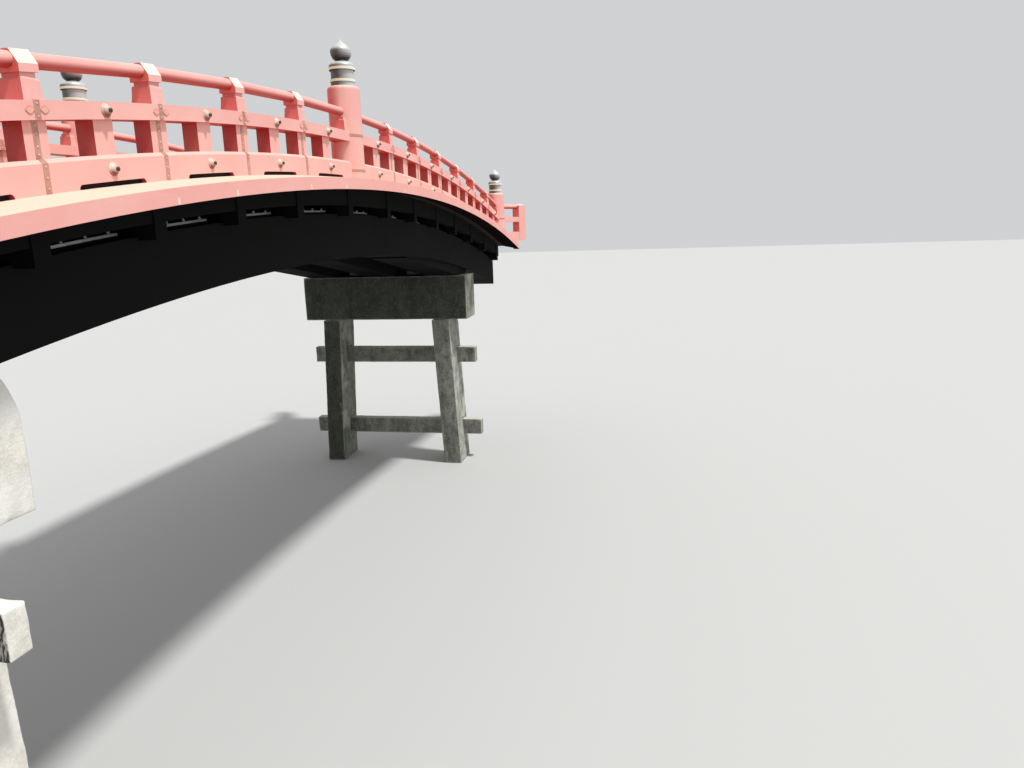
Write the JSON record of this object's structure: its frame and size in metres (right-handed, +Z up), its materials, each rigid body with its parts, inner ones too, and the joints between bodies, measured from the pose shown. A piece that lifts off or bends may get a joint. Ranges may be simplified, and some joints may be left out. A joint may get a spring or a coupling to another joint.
{
  "type": "arched timber bridge",
  "caption": "Arched timber footbridge with red lacquered balustrades, round posts with onion finials and black girders on two granite gate-shaped piers.",
  "frame": {"origin": "middle of the bridge in plan, at the level of the pillars' feet", "axes": "+X along the bridge to the far bank, +Y upstream, +Z up"},
  "size_m": [30.4394, 7.7002, 11.398],
  "materials": {
    "vermilion_lacquer": "weathered vermilion lacquer on timber, satin",
    "black_lacquer": "black lacquer on timber, satin",
    "deck_timber": "vermilion deck planks, worn matt",
    "granite": "rough hewn granite with lichen",
    "dark_bronze": "dark patinated bronze with gilt bands",
    "gilt_metal": "pale gilt bronze",
    "copper_strap": "weathered copper strap",
    "galvanised": "pale bare metal"
  },
  "bodies": {
    "root": {"pillar_near_downstream": "granite", "pillar_near_upstream": "granite", "cap_near": "granite", "tie_upper_near": "granite", "tie_lower_near": "granite", "pillar_far_downstream": "granite", "pillar_far_upstream": "granite", "cap_far": "granite", "tie_upper_far": "granite", "tie_lower_far": "granite", "girder_downstream": "black_lacquer", "girder_middle": "black_lacquer", "girder_upstream": "black_lacquer", "corbels_far": "black_lacquer", "cross_beams": "black_lacquer", "deck_planks": "deck_timber", "edge_beam_downstream": "vermilion_lacquer", "edge_beam_upstream": "vermilion_lacquer", "stringer_downstream": "black_lacquer", "stringer_upstream": "black_lacquer", "sill_downstream": "vermilion_lacquer", "sill_upstream": "vermilion_lacquer", "stub_posts_downstream": "vermilion_lacquer", "stub_posts_upstream": "vermilion_lacquer", "mid_rail_downstream": "vermilion_lacquer", "mid_rail_upstream": "vermilion_lacquer", "flared_posts_downstream": "vermilion_lacquer", "flared_posts_upstream": "vermilion_lacquer", "saddles_downstream": "vermilion_lacquer", "saddles_upstream": "vermilion_lacquer", "handrail_downstream": "vermilion_lacquer", "handrail_upstream": "vermilion_lacquer", "main_posts": "vermilion_lacquer", "finials": "dark_bronze", "wing_sills": "vermilion_lacquer", "wing_mid_rails": "vermilion_lacquer", "wing_handrails": "vermilion_lacquer", "wing_end_posts": "vermilion_lacquer"}
  },
  "joints": []
}
